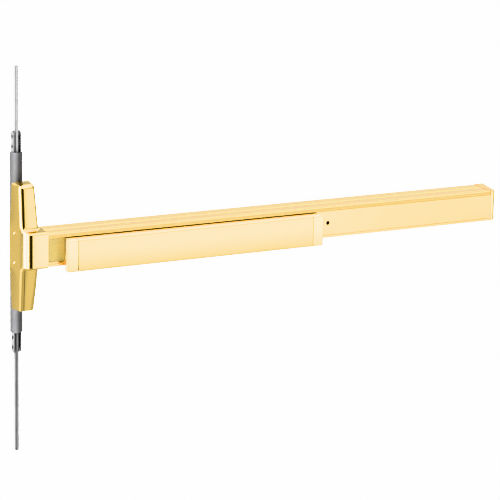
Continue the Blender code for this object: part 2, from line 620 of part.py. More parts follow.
for tag, xp in zip(("left", "right"), LEVER_X):
    nose_x = xp - LEVER_ARM * math.cos(LEVER_TILT)
    hat = [(38.3, -11.5, 1.0), (38.3, 11.5, 1.0), (63.9, 11.5), (63.9, 14.2), (66.3, 14.2), (66.3, 9.0),
           (40.7, 9.0), (40.7, -9.0), (66.3, -9.0), (66.3, -14.2), (63.9, -14.2), (63.9, -11.5)]
    place("pad_bracket_" + tag, prism(rounded(flat(hat), 2), 'X', nose_x - 17, nose_x + 5), STEEL,
          (nose_x, -PAD_FRONT, 0), AX_PAD)
    # bracket that carries the lever's pin
    uu = [(2.75, -15.0, 0.8), (2.75, 15.0, 0.8), (33.5, 15.0, 1.5), (33.5, 12.5), (5.2, 12.5), (5.2, -12.5),
          (33.5, -12.5), (33.5, -15.0, 1.5)]
    br = place("lever_bracket_" + tag, prism(rounded(flat(uu), 2), 'X', xp - 14, xp + 14), STEEL)
    cut(br, rod('Z', (xp, -LEVER_D), 2.8, -20, 20))
    place("lever_pin_" + tag, turned([(0, -16.6), (3.6, -16.6), (3.6, -15.3), (2.5, -15.3), (2.5, 15.3),
                                      (3.6, 15.3), (3.6, 16.6), (0, 16.6)], 'Z', (xp, -LEVER_D), 20), DARK)
    # bell-crank lever: long arm to the pad, finger to the tie bar
    ax = axis_empty("axis_pad_lever_" + tag, (xp, -LEVER_D, 0))
    p = (xp, -LEVER_D)
    nose = spin_points([(xp - LEVER_ARM, -LEVER_D)], p, LEVER_TILT)[0]
    strap = [(xp, -LEVER_D - 1.9), (xp, -LEVER_D + 1.9), (xp - LEVER_ARM, -LEVER_D + 1.9),
             (xp - LEVER_ARM, -LEVER_D - 1.9)]
    lever = place("pad_lever_" + tag, rod('Z', p, 6.0, -11.9, 11.9, 28), STEEL, (xp, -LEVER_D, 0), ax)
    join(lever, prism(spin_points(strap, p, LEVER_TILT), 'Z', -3, 3))
    join(lever, rod('Z', nose, NOSE_RADIUS, -3.1, 3.1))
    fing = [(xp - 2.5, -LEVER_D), (xp + 2.5, -LEVER_D), (xp + 2.5, -LEVER_D + 18.4), (xp + 1.4, -LEVER_D + 19.6),
            (xp - 1.4, -LEVER_D + 19.6), (xp - 2.5, -LEVER_D + 18.4)]
    join(lever, prism(spin_points(fing, p, LEVER_TILT), 'Z', -2.9, 2.9))
    cut(lever, rod('Z', p, 2.8, -14, 14))

# ---------------------------------------------------------------- tie bar
tie = place("tie_bar", box(BAR_X0, BAR_X1, -BAR_D1, -BAR_D0, -BAR_HALF, BAR_HALF), STEEL,
            (284.0, -0.5 * (BAR_D0 + BAR_D1), 0), AX_BAR)
half = BAR_TRAVEL / 2
for xp in LEVER_X:
    cut(tie, box(xp - half - 3.4, xp - half + 3.4, -20, -5, -3.5, 3.5))
for s in (1, -1):
    x = LIFT_X - half
    lo, hi = sorted((s * (LIFT_Z - LIFT_DRIVE - 2.1), s * (LIFT_Z - LIFT_DRIVE * math.cos(LIFT_TILT) + 2.1)))
    cut(tie, box(x - 2.05, x + 2.05, -20, -5, lo, hi))
STUD_X = DOG_X - 15.65
join(tie, rod('Y', (STUD_X, DOG_Z), 1.5, -17.5, -11.5, 16))

# return spring of the tie bar and its seat
SPRING_X0, SPRING_X1 = BAR_X1 + 0.5, 589.6
bm = bmesh.new()
turns, per, sides, wire, coil = 8, 12, 6, 0.7, 4.6
prev = None
first = None
for k in range(turns * per + 1):
    f = k / (turns * per)
    a = 2 * math.pi * turns * f
    centre = Vector((SPRING_X0 + wire + (SPRING_X1 - SPRING_X0 - 2 * wire) * f,
                     -11.5 + coil * math.cos(a), coil * math.sin(a)))
    out = Vector((0, math.cos(a), math.sin(a)))
    loop = [bm.verts.new(centre + wire * (out * math.cos(q) + Vector((1, 0, 0)) * math.sin(q)))
            for q in [2 * math.pi * j / sides for j in range(sides)]]
    if prev:
        for j in range(sides):
            bm.faces.new((prev[j], prev[(j + 1) % sides], loop[(j + 1) % sides], loop[j]))
    else:
        bm.faces.new(loop)
    prev = loop
bm.faces.new(list(reversed(prev)))
place("return_spring", bm, SPRING)
seat = [(606, -2.75), (590, -2.75), (590, -20.0, 1.5), (592.5, -20.0, 0.8), (592.5, -5.2), (606, -5.2)]
place("spring_seat", prism(rounded(seat, 3), 'Z', -10, 10), STEEL)

# ---------------------------------------------------------------- dogging
dog = place("dogging_screw", turned([(0, -50.2), (3.4, -50.2), (4.0, -49.6), (4.0, -13.4), (0, -13.4)],
                                    'Y', (DOG_X, DOG_Z), 24), DARK, (DOG_X, -50, DOG_Z), AX_DOG)
cut(dog, prism(circle(DOG_X, DOG_Z, 2.4, 6), 'Y', -54, -46.5))
place("dogging_block", box(DOG_X - 11, DOG_X + 11, -40, -34, -24.8, 22.4), STEEL)
cut(bpy.data.objects["dogging_block"], rod('Y', (DOG_X, DOG_Z), 4.35, -45, -30, 24))
hook = [(-2.0, -5.3), (-13.6, -8.2), (-13.6, 1.0), (-11.1, 1.0), (-11.1, -5.0), (-2.5, -2.0)]
hook = spin_points([(DOG_X + x, DOG_Z + z) for x, z in hook], (DOG_X, DOG_Z), DOG_TURN)
hk = place("dogging_hook", rod('Y', (DOG_X, DOG_Z), 5.5, -17.0, -14.0, 28), STEEL, (DOG_X, -50, DOG_Z), AX_DOG)
join(hk, prism(hook, 'Y', -16.9, -14.1))
cut(hk, rod('Y', (DOG_X, DOG_Z), 4.3, -20, -10, 24))

# ---------------------------------------------------------------- hinge end
X0 = CASE_X1 + GAP
L = END_BACK
END_R = 1.4


def end_row(inset, drop, side):
    """Outline of the end cap at one height, drawn in where its edges are rounded."""
    k = inset
    plan = rounded([(X0, 0.0), (X0 + L - k, 0.0, 1.2), (X0 + L - 5.4 - k, 26.0, 40.0),
                    (X0 + END_FRONT - k, CASE_FRONT + 0.3 - k, 1.6), (X0, CASE_FRONT + 0.3 - k)], 5)
    return [(x, -d, (case_top(d) + 0.65 - drop) if side > 0 else (-CASE_HALF - 0.25 + drop)) for x, d in plan]


steps = [(END_R * (1 - math.sin(q)), END_R * (1 - math.cos(q))) for q in [math.radians(a) for a in (0, 30, 60, 90)]]
rows = [end_row(k, h, -1) for k, h in steps] + [end_row(k, h, 1) for k, h in reversed(steps)]
bm = loft(rows)
cap = place("end_cap", bm, BRASS)
cav = rounded([(X0 - 2, 2), (X0 + L - 8.4, 2), (X0 + L - 8.4, -24, 4.0), (X0 + 4.4, -47.0, 2.0),
               (X0 + 1.5, -50.6), (X0 - 2, -50.6)], 4)
cut(cap, prism(cav, 'Z', -25.2, 22.0))
cut(cap, rod('X', (-12, 0), 2.7, X0 + 10, X0 + L + 3, 20))
cut(cap, rod('X', (-12, 0), 4.6, X0 + L - 5.2, X0 + L + 3, 24))
brk = place("end_bracket", box(850, X0 + L - 8.7, -2.8, 0.0, -12, 12), STEEL)
join(brk, box(873, X0 + L - 8.8, -20, -1.5, -8, 8))
cut(brk, rod('Y', (858.5, 0), 2.7, -5, 3))
cut(brk, rod('X', (-12, 0), 2.6, 870, 888, 20))
screw("bracket_screw", 3.1, -18.0, 858.5, 0)
es = X0 + L - 4.0
scr = place("end_cap_screw", turned([(0, es - 0.1), (3.9, es - 0.1), (4.2, es - 0.3), (4.2, es - 0.9), (2.3, es - 0.9),
                                     (2.3, es - 13), (1.4, es - 14), (0, es - 14)], 'X', (-12, 0), 20), PALE)
cut(scr, prism(circle(-12, 0, 1.8, 6), 'X', es - 0.6, es + 1))
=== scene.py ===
"""Looks of the vertical rod exit device: camera, studio, materials and the finer visible pieces.

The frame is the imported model: +X along the bar, -Y out into the room, +Z up. Helper
functions take millimetres; "d" is the distance in front of the door's face, Y = -d.
"""
import math

import bmesh
import bpy
import numpy as np
from mathutils import Matrix, Vector


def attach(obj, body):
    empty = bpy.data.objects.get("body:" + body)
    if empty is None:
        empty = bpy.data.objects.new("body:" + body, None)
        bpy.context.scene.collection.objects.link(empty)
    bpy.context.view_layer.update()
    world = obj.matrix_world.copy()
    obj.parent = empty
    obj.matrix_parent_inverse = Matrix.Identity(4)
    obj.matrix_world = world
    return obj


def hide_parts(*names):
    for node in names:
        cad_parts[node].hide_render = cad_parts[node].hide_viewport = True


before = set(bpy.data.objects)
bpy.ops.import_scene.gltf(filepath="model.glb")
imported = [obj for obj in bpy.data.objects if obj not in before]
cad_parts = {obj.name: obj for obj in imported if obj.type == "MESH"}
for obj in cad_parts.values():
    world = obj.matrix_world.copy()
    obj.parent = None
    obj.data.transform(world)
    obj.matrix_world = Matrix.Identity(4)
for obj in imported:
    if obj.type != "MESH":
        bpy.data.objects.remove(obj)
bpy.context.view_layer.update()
MM = 0.001
scene = bpy.context.scene

# ------------------------------------------------------------------ camera
AZ, EL, ROLL = math.radians(-29.72), math.radians(12.98), math.radians(1.20)
back = Vector((math.sin(AZ) * math.cos(EL), -math.cos(AZ) * math.cos(EL), math.sin(EL)))
right0 = Vector((math.cos(AZ), math.sin(AZ), 0.0))
up0 = back.cross(right0)
right = right0 * math.cos(ROLL) + up0 * math.sin(ROLL)
up = up0 * math.cos(ROLL) - right0 * math.sin(ROLL)
cam_data = bpy.data.cameras.new("camera")
cam_data.sensor_width = 36.0
cam_data.lens = 168.70
cam_data.clip_start = 0.05
cam_data.clip_end = 60.0
camera = bpy.data.objects.new("camera", cam_data)
turn = Matrix((right, up, back)).transposed()
camera.matrix_world = Matrix.Translation((-1.48118, -3.32752, 0.83473)) @ turn.to_4x4()
scene.collection.objects.link(camera)
scene.camera = camera

scene.view_settings.view_transform = 'Khronos PBR Neutral'
scene.view_settings.look = 'None'
scene.view_settings.exposure = 0.0
scene.view_settings.gamma = 1.0


# ------------------------------------------------------------------ node helpers
class Tree:
    """Short calls for building a node tree."""

    def __init__(self, tree):
        self.t = tree
        self.n = tree.nodes
        self.l = tree.links

    def node(self, kind, **props):
        nd = self.n.new(kind)
        for k, v in props.items():
            setattr(nd, k, v)
        return nd

    def put(self, socket, value):
        if isinstance(value, bpy.types.NodeSocket):
            self.l.new(value, socket)
        elif value is not None:
            socket.default_value = value

    def math(self, op, a, b=None, c=None, clamp=False):
        nd = self.node('ShaderNodeMath', operation=op, use_clamp=clamp)
        for s, v in zip(nd.inputs, (a, b, c)):
            self.put(s, v)
        return nd.outputs[0]

    def ramp(self, value, a, b, lo=0.0, hi=1.0, smooth=True):
        nd = self.node('ShaderNodeMapRange')
        nd.interpolation_type = 'SMOOTHSTEP' if smooth else 'LINEAR'
        nd.clamp = True
        self.put(nd.inputs['Value'], value)
        for key, v in (('From Min', a), ('From Max', b), ('To Min', lo), ('To Max', hi)):
            self.put(nd.inputs[key], v)
        return nd.outputs['Result']

    def mix(self, f, a, b, blend='MIX'):
        nd = self.node('ShaderNodeMix', data_type='RGBA', blend_type=blend)
        self.put(nd.inputs['Factor'], f)
        self.put(nd.inputs['A'], a)
        self.put(nd.inputs['B'], b)
        return nd.outputs['Result']

    def noise(self, vec, scale, detail=2.0, rough=0.5):
        nd = self.node('ShaderNodeTexNoise', noise_dimensions='3D')
        self.put(nd.inputs['Vector'], vec)
        nd.inputs['Scale'].default_value = scale
        nd.inputs['Detail'].default_value = detail
        nd.inputs['Roughness'].default_value = rough
        return nd.outputs['Fac']

    def mapping(self, vec, scale=(1, 1, 1), loc=(0, 0, 0), rot=(0, 0, 0)):
        nd = self.node('ShaderNodeMapping')
        self.put(nd.inputs['Vector'], vec)
        nd.inputs['Scale'].default_value = scale
        nd.inputs['Location'].default_value = loc
        nd.inputs['Rotation'].default_value = rot
        return nd.outputs[0]


# ------------------------------------------------------------------ studio
world = bpy.data.worlds.new("studio")
scene.world = world
world.use_nodes = True
wt = Tree(world.node_tree)
wt.n.clear()
wout = wt.node('ShaderNodeOutputWorld')
coord = wt.node('ShaderNodeTexCoord').outputs['Generated']
sep = wt.node('ShaderNodeSeparateXYZ')
wt.l.new(coord, sep.inputs[0])
dx, dy, dz = sep.outputs
# azimuth in degrees from -X towards -Y, and elevation in degrees
azim = wt.math('MULTIPLY', wt.math('ARCTAN2', wt.math('MULTIPLY', dy, -1.0), wt.math('MULTIPLY', dx, -1.0)), 57.2958)
elev = wt.math('MULTIPLY', wt.math('ARCSINE', dz), 57.2958)


def window(value, a0, a1, b0, b1):
    """1 between a1 and b0, fading to 0 at a0 and b1."""
    return wt.math('MULTIPLY', wt.ramp(value, a0, a1), wt.ramp(value, b0, b1, 1.0, 0.0))


def card(level, az, el):
    return wt.math('MULTIPLY', wt.math('MULTIPLY', window(azim, *az), window(elev, *el)), level)


base = wt.ramp(elev, -40.0, 8.0, 0.62, 0.50)
dark = wt.math('MULTIPLY', window(azim, 35.0, 46.0, 86.0, 97.0), window(elev, -27.0, -14.0, 30.0, 55.0))
light = wt.math('MULTIPLY', base, wt.math('SUBTRACT', 1.0, wt.math('MULTIPLY', dark, 0.985)))
for part in (card(24.0, (-32.0, -27.0, 8.0, 14.0), (-20.0, -14.0, 40.0, 60.0)),     # left softbox
             card(1.6, (-30.0, -25.0, 8.0, 14.0), (-70.0, -50.0, -20.0, -14.0)),    # its lower edge
             card(0.28, (-54.0, -42.0, -32.0, -27.0), (-70.0, -50.0, 30.0, 50.0)),   # beside it
             card(24.0, (-75.0, -71.0, -61.0, -55.0), (-24.0, -16.0, 20.0, 40.0)),   # far left
             card(0.85, (92.0, 100.0, 140.0, 150.0), (-14.0, -4.0, 22.0, 28.0)),     # front right, above
             card(0.75, (-172.0, -150.0, -92.0, -84.0), (4.0, 11.0, 19.5, 24.0)),    # behind
             card(6.5, (-178.0, -164.0, -92.0, -80.0), (28.0, 31.5, 50.0, 66.0))):   # above, behind
    light = wt.math('ADD', light, part)
light = wt.math('ADD', light, wt.ramp(elev, 40.0, 54.0, 0.0, 3.8))
bg = wt.node('ShaderNodeBackground')
bg.inputs['Color'].default_value = (1.0, 1.0, 1.0, 1.0)
wt.l.new(light, bg.inputs['Strength'])
plain = wt.node('ShaderNodeBackground')
plain.inputs['Color'].default_value = (1.0, 1.0, 1.0, 1.0)
plain.inputs['Strength'].default_value = 5.0
pick = wt.node('ShaderNodeMixShader')
paths = wt.node('ShaderNodeLightPath')
wt.l.new(paths.outputs['Is Camera Ray'], pick.inputs[0])
wt.l.new(bg.outputs[0], pick.inputs[1])
wt.l.new(plain.outputs[0], pick.inputs[2])
wt.l.new(pick.outputs[0], wout.inputs[0])


def emitter(name, corners, build):
    """A lit panel that the metal reflects and no camera sees."""
    me = bpy.data.meshes.new(name)
    me.from_pydata([tuple(c) for c in corners], [], [(0, 1, 2, 3)])
    ob = bpy.data.objects.new(name, me)
    scene.collection.objects.link(ob)
    m = bpy.data.materials.new(name)
    m.use_nodes = True
    t = Tree(m.node_tree)
    t.n.clear()
    out = t.node('ShaderNodeOutputMaterial')
    em = t.node('ShaderNodeEmission')
    pos = t.node('ShaderNodeNewGeometry').outputs['Position']
    xyz = t.node('ShaderNodeSeparateXYZ')
    t.l.new(pos, xyz.inputs[0])
    t.l.new(build(t, *xyz.outputs), em.inputs['Strength'])
    t.l.new(em.outputs[0], out.inputs[0])
    me.materials.append(m)
    ob.visible_camera = False
    ob.visible_shadow = False
    ob.visible_diffuse = False
    return ob


def front_card(t, x, y, z):
    tall = t.math('ADD', t.ramp(z, -0.62, -0.46, 0.95, 1.6), t.ramp(z, -0.46, -0.31, 0.0, 4.6))
    tall = t.math('SUBTRACT', tall, t.ramp(z, -0.26, 0.06, 0.0, 2.4))
    along = t.math('MULTIPLY', t.ramp(x, 0.22, 0.60), t.ramp(x, 1.3, 1.8, 1.0, 0.62))
    along = t.math('MULTIPLY', along, t.ramp(x, 1.98, 2.12, 1.0, 0.05))
    strip = t.math('MULTIPLY', t.ramp(x, 1.95, 2.05), t.ramp(x, 2.45, 2.55, 2.2, 0.0))
    return t.math('MULTIPLY', tall, t.math('ADD', along, strip))


emitter("front_card", ((0.1, -1.30, -0.9), (2.6, -1.30, -0.9), (2.6, -1.30, 0.2), (0.1, -1.30, 0.2)), front_card)

floor_me = bpy.data.meshes.new("floor")
S = 30.0
floor_me.from_pydata([(-S, -S, -0.72), (S, -S, -0.72), (S, S, -0.72), (-S, S, -0.72)], [], [(0, 1, 2, 3)])
floor = bpy.data.objects.new("floor", floor_me)
scene.collection.objects.link(floor)
fm = bpy.data.materials.new("floor")
fm.use_nodes = True
ft = Tree(fm.node_tree)
fb = fm.node_tree.nodes["Principled BSDF"]
fb.inputs["Base Color"].default_value = (0.86, 0.86, 0.86, 1.0)
fb.inputs["Roughness"].default_value = 0.9
fb.inputs["Emission Color"].default_value = (1.0, 1.0, 1.0, 1.0)
fb.inputs["Emission Strength"].default_value = 3.2
floor_me.materials.append(fm)
floor.visible_glossy = False


def area(name, at, aim, size, power):
    d = bpy.data.lights.new(name, 'AREA')
    d.shape = 'RECTANGLE'
    d.size, d.size_y = size
    d.energy = power
    o = bpy.data.objects.new(name, d)
    scene.collection.objects.link(o)
    o.location = at
    o.rotation_euler = (Vector(aim) - Vector(at)).to_track_quat('-Z', 'Y').to_euler()
    return o


area("top_light", (0.2, -1.2, 2.6), (0.4, 0.0, 0.0), (2.4, 1.6), 60.0)


# ------------------------------------------------------------------ materials
def metal(name, rgb, rough, grain=None, grain_bump=0.02, mottle=0.05, scratch=0.0, pits=0.0, edge=0.0, metallic=1.0, painted_tube_shade=False, corners=None, shine=None):
    """A worked metal: parallel grain, faint mottling, hairlines, pits and brighter worn edges."""
    m = bpy.data.materials.new(name)
    m.use_nodes = True
    t = Tree(m.node_tree)
    b = m.node_tree.nodes["Principled BSDF"]
    b.inputs["Metallic"].default_value = metallic
    if shine is not None:
        b.inputs["Specular IOR Level"].default_value = shine
    pos = t.node('ShaderNodeTexCoord').outputs['Object']
    blotch = t.noise(pos, 38.0, 3.0)
    tone = t.ramp(blotch, 0.25, 0.75, 1.0 - mottle, 1.0, smooth=False)
    haze = t.noise(t.mapping(pos, loc=(3.1, 1.7, 0.4)), 14.0, 3.0)
    r = t.ramp(haze, 0.3, 0.7, rough * 0.85, rough * 1.18, smooth=False)
    height = None
    if grain:
        g = t.noise(t.mapping(pos, scale=grain), 1.0, 3.0, 0.6)
        tone = t.math('MULTIPLY', tone, t.ramp(g, 0.3, 0.7, 1.0 - mottle * 0.9, 1.0, smooth=False))
        r = t.math('ADD', r, t.ramp(g, 0.3, 0.7, -0.04, 0.04, smooth=False))
        height = g
    if scratch:
        line = tuple(v * 2.6 for v in (grain or (40, 900, 900)))
        h = t.noise(t.mapping(pos, scale=line, loc=(0.7, 2.3, 5.1), rot=(0.0, 0.03, 0.04)), 1.0, 1.0, 0.4)
        hair = t.ramp(h, 0.66, 0.72)
        r = t.math('ADD', r, t.math('MULTIPLY', hair, scratch))
        tone = t.math('MULTIPLY', tone, t.math('SUBTRACT', 1.0, t.math('MULTIPLY', hair, 0.3 * scratch)))
        height = t.math('SUBTRACT', height, t.math('MULTIPLY', hair, 0.8)) if height else hair
    if pits:
        p = t.noise(t.mapping(pos, loc=(1.9, 0.3, 7.7)), 820.0, 1.0, 0.5)
        pit = t.ramp(p, 0.70, 0.78)
        tone = t.math('MULTIPLY', tone, t.math('SUBTRACT', 1.0, t.math('MULTIPLY', pit, pits)))
        r = t.math('ADD', r, t.math('MULTIPLY', pit, 0.25))
    if edge:
        worn = t.ramp(t.node('ShaderNodeNewGeometry').outputs['Pointiness'], 0.51, 0.58)
        tone = t.math('MULTIPLY', tone, t.math('ADD', 1.0 - edge, t.math('MULTIPLY', worn, edge)))
        r = t.math('SUBTRACT', r, t.math('MULTIPLY', worn, 0.05))
    if painted_tube_shade:
        # painted shade: a dark band along the tube's right side and a darkening towards its left edge, standing in for
        # the shading the tube shows
        x = t.node('ShaderNodeSeparateXYZ')
        t.l.new(pos, x.inputs[0])
        scale = t.math('MULTIPLY', t.ramp(x.outputs[0], -0.0055, 0.0016), t.ramp(x.outputs[0], 0.0042, 0.0095, 1.0, 0.0))
        tone = t.math('MULTIPLY', tone, t.math('SUBTRACT', 1.0, t.math('MULTIPLY', scale, 0.72)))
        tone = t.math('MULTIPLY', tone, t.ramp(x.outputs[0], -0.0106, -0.0058, 0.22, 1.0))
        b.inputs["Specular IOR Level"].default_value = 0.2
    if corners:
        # darker along the corners of a drawn bar: its axis stands at Y = corners[0], radii in metres
        x = t.node('ShaderNodeSeparateXYZ')
        t.l.new(pos, x.inputs[0])
        off = t.math('SUBTRACT', x.outputs[1], corners[0])
        far = t.math('SQRT', t.math('ADD', t.math('MULTIPLY', x.outputs[0], x.outputs[0]), t.math('MULTIPLY', off, off)))
        tone = t.math('MULTIPLY', tone, t.ramp(far, corners[1], corners[2], 1.0, corners[3]))
    if height:
        bump = t.node('ShaderNodeBump')
        bump.inputs['Strength'].default_value = grain_bump
        bump.inputs['Distance'].default_value = 0.0002
        t.l.new(height, bump.inputs['Height'])
        t.l.new(bump.outputs[0], b.inputs['Normal'])
    col = t.mix(tone, (0.0, 0.0, 0.0, 1.0), (*rgb, 1.0))
    t.l.new(col, b.inputs['Base Color'])
    t.l.new(t.math('MAXIMUM', r, 0.05), b.inputs['Roughness'])
    return m


BRASS = (1.0, 0.71, 0.228)
mats = {
    "cast": metal("cast_brass_polish", BRASS, 0.08, grain=(60, 900, 40), grain_bump=0.02, mottle=0.035, scratch=0.015, edge=0.04),
    "pad": metal("pad_brass_polish", BRASS, 0.13, grain=(12, 900, 900), grain_bump=0.03, scratch=0.10, edge=0.04),
    "case": metal("case_brass_brushed", BRASS, 0.20, grain=(10, 1400, 1400), grain_bump=0.05, scratch=0.12, edge=0.05),
    "cover": metal("cover_brass_brushed", BRASS, 0.22, grain=(9, 1400, 1400), grain_bump=0.06, scratch=0.12, edge=0.05),
    "cap": metal("cap_brass_bright", (1.0, 0.78, 0.36), 0.15, grain=(40, 900, 900), grain_bump=0.02, scratch=0.06, edge=0.03),
    # painted shade: the recessed filler gets a darker, less metallic copy of the brass so it reads as the shaded recess
    "recess": metal("recess_brass_painted_shade", (0.305, 0.228, 0.062), 0.5, grain=(8, 1500, 900), grain_bump=0.10, mottle=0.2, scratch=0.1, metallic=0.2),
    "steel": metal("zinc_steel", (0.30, 0.30, 0.305), 0.38, grain=(700, 700, 20), grain_bump=0.05, mottle=0.14, scratch=0.1, edge=0.12, metallic=0.6),
    # the tube's tone carries painted shade: a dark band along one side and a darker left edge
    "tube": metal("tube_steel_drawn", (0.125, 0.125, 0.13), 0.5, grain=(900, 900, 12), grain_bump=0.06, mottle=0.15, scratch=0.1, edge=0.1, metallic=0.12, painted_tube_shade=True),
    "rod_top": metal("rod_steel_bright", (0.21, 0.21, 0.21), 0.5, grain=(900, 900, 14), grain_bump=0.05, mottle=0.12, scratch=0.1, metallic=0.0, corners=(0.0194, 0.00404, 0.00432, 0.28), shine=0.05),
    "rod_bottom": metal("rod_steel_zinc", (0.088, 0.088, 0.088), 0.5, grain=(900, 900, 14), grain_bump=0.05, mottle=0.14, scratch=0.1, metallic=0.0, corners=(0.0194, 0.00402, 0.00434, 0.36), shine=0.05),
    "clevis": metal("clevis_steel_zinc", (0.075, 0.075, 0.077), 0.5, grain=(700, 700, 20), grain_bump=0.05, mottle=0.2, scratch=0.1, edge=0.2, metallic=0.05, shine=0.1),
    "rivet": metal("rivet_steel_dark", (0.015, 0.015, 0.016), 0.5, mottle=0.2, edge=0.3, metallic=0.0, shine=0.15),
    "cap_side": metal("cap_brass_cast", (0.90, 0.66, 0.26), 0.62, grain=(500, 500, 500), grain_bump=0.06, mottle=0.08, pits=0.15, metallic=0.4),
    # painted shade: a near-black copy of the brass for faces inside the case and the cap's neck
    "inside": metal("case_brass_painted_shade", (0.085, 0.062, 0.026), 0.7, grain=(10, 900, 900), grain_bump=0.04, mottle=0.2, metallic=0.6),
    # near-black steel: dark steel for the inner pins and springs, and on the dogging screw painted shade that makes its
    # hole read black
    "dark": metal("dark_steel_painted_shade", (0.030, 0.030, 0.032), 0.42, mottle=0.2, pits=0.3, edge=0.2),
}

# ------------------------------------------------------------------ mesh helpers, in millimetres
def rounded(points, steps=6):
    """Round the corners of a closed outline of (x, y) or (x, y, radius) points."""
    out = []
    n = len(points)
    for k, p in enumerate(points):
        r = p[2] if len(p) > 2 else 0.0
        c = Vector(p[:2])
        if r <= 0:
            out.append(tuple(c))
            continue
        u = (Vector(points[k - 1][:2]) - c).normalized()
        v = (Vector(points[(k + 1) % n][:2]) - c).normalized()
        half = math.acos(max(-1, min(1, u.dot(v)))) / 2
        t = r / math.tan(half)
        centre = c + (u + v).normalized() * (r / math.sin(half))
        s, e = c + u * t - centre, c + v * t - centre
        a0 = math.atan2(s.y, s.x)
        sweep = (math.atan2(e.y, e.x) - a0 + math.pi) % (2 * math.pi) - math.pi
        for j in range(steps + 1):
            a = a0 + sweep * j / steps
            out.append((centre.x + r * math.cos(a), centre.y + r * math.sin(a)))
    return out


def flat(points):
    """Outline given as (d, z) or (d, z, r), turned into (y, z, r)."""
    return [(-p[0], p[1], *(p[2:])) for p in points]


def loft(rows, closed=True):
    bm = bmesh.new()
    vs = [[bm.verts.new(p) for p in r] for r in rows]
    for a, b in zip(vs, vs[1:]):
        for k in range(len(a)):
            j = (k + 1) % len(a)
            bm.faces.new((a[k], a[j], b[j], b[k]))
    if closed:
        bm.faces.new(vs[0])
        bm.faces.new(list(reversed(vs[-1])))
    return bm


def inset(points, k):
    """The outline drawn in by k along its own normals."""
    n = len(points)
    area = sum(points[i][0] * points[(i + 1) % n][1] - points[(i + 1) % n][0] * points[i][1] for i in range(n))
    w = 1.0 if area > 0 else -1.0
    out = []
    for i in range(n):
        p, q, r = Vector(points[i - 1]), Vector(points[i]), Vector(points[(i + 1) % n])
        a, b = (q - p), (r - q)
        if a.length < 1e-7 or b.length < 1e-7:
            out.append(tuple(q))
            continue
        na, nb = Vector((-a.y, a.x)).normalized() * w, Vector((-b.y, b.x)).normalized() * w
        m = (na + nb)
        m = m / max(0.4, m.length_squared / 2) if m.length > 1e-6 else na
        out.append(tuple(q + m * k))
    return out


def bar_loft(points, x0, x1, edge=0.0, cuts=1):
    """An outline in (y, z) drawn along X, both ends broken by a small edge."""
    rows = []
    if edge > 0:
        stops = [(x0, edge), (x0 + 0.3 * edge, 0.3 * edge), (x0 + edge, 0.0), (x0 + edge + 0.3, 0.0)]
        stops += [(x0 + (x1 - x0) * k / cuts, 0.0) for k in range(1, cuts)]
        stops += [(x1 - edge - 0.3, 0.0), (x1 - edge, 0.0), (x1 - 0.3 * edge, 0.3 * edge), (x1, edge)]
    else:
        stops = [(x0 + (x1 - x0) * k / cuts, 0.0) for k in range(cuts + 1)]
    for x, k in stops:
        ring = inset(points, k) if k else points
        rows.append([(x, y, z) for y, z in ring])
    return loft(rows)


def circle(cx, cy, r, n=32, turn=0.0):
    return [(cx + r * math.cos(turn + 2 * math.pi * k / n), cy + r * math.sin(turn + 2 * math.pi * k / n))
            for k in range(n)]


def prism(points, axis, a, b):
    def at(p, h):
        return {'X': (h, p[0], p[1]), 'Y': (p[0], h, p[1]), 'Z': (p[0], p[1], h)}[axis]
    return loft([[at(p, a) for p in points], [at(p, b) for p in points]])


def on_axis(axis, c, u, v, h):
    return {'X': (h, c[0] + u, c[1] + v), 'Y': (c[0] + u, h, c[1] + v), 'Z': (c[0] + u, c[1] + v, h)}[axis]


def turned(profile, axis, c, n=32, ring=False):
    """Turn (radius, height) points: open with its ends on the axis, or a closed ring."""
    bm = bmesh.new()
    rings = []
    for r, h in profile:
        if r <= 1e-9:
            rings.append([bm.verts.new(on_axis(axis, c, 0, 0, h))])
        else:
            rings.append([bm.verts.new(on_axis(axis, c, r * math.cos(2 * math.pi * k / n),
                                               r * math.sin(2 * math.pi * k / n), h)) for k in range(n)])
    pairs = list(zip(rings, rings[1:])) + ([(rings[-1], rings[0])] if ring else [])
    for a, b in pairs:
        for k in range(n):
            j = (k + 1) % n
            if len(a) == 1:
                bm.faces.new((a[0], b[j], b[k]))
            elif len(b) == 1:
                bm.faces.new((a[k], a[j], b[0]))
            else:
                bm.faces.new((a[k], a[j], b[j], b[k]))
    return bm


def solid(name, bm, mat=None, sharp=34.0):
    bmesh.ops.recalc_face_normals(bm, faces=bm.faces)
    bmesh.ops.scale(bm, verts=bm.verts, vec=(MM, MM, MM))
    me = bpy.data.meshes.new(name)
    bm.to_mesh(me)
    bm.free()
    me.shade_smooth()
    me.set_sharp_from_angle(angle=math.radians(sharp))
    ob = bpy.data.objects.new(name, me)
    scene.collection.objects.link(ob)
    if mat:
        me.materials.append(mat)
    return ob


def carve(ob, tools, sharp=34.0):
    """Cut the tools out of a solid, or add them, and keep the result as its mesh."""
    helpers = []
    for op, bm in tools:
        h = solid("tool", bm)
        m = ob.modifiers.new("carve", 'BOOLEAN')
        m.operation = op
        m.solver = 'EXACT'
        m.object = h
        helpers.append(h)
    bpy.context.view_layer.update()
    done = bpy.data.meshes.new_from_object(ob.evaluated_get(bpy.context.evaluated_depsgraph_get()))
    old = ob.data
    ob.modifiers.clear()
    ob.data = done
    done.name = ob.name
    bpy.data.meshes.remove(old)
    for h in helpers:
        me = h.data
        bpy.data.objects.remove(h, do_unlink=True)
        bpy.data.meshes.remove(me)
    done.shade_smooth()
    done.set_sharp_from_angle(angle=math.radians(sharp))
    assert len(done.polygons) > 20, ob.name
    print("cut", ob.name, len(done.polygons), "faces")
    return ob


def wear(ob, body, slot, *nodes):
    if not ob.data.has_custom_normals:
        even = ob.modifiers.new("even shading", 'WEIGHTED_NORMAL')
        even.keep_sharp = True
        even.weight = 50
    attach(ob, body)
    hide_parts(*nodes)
    return ob


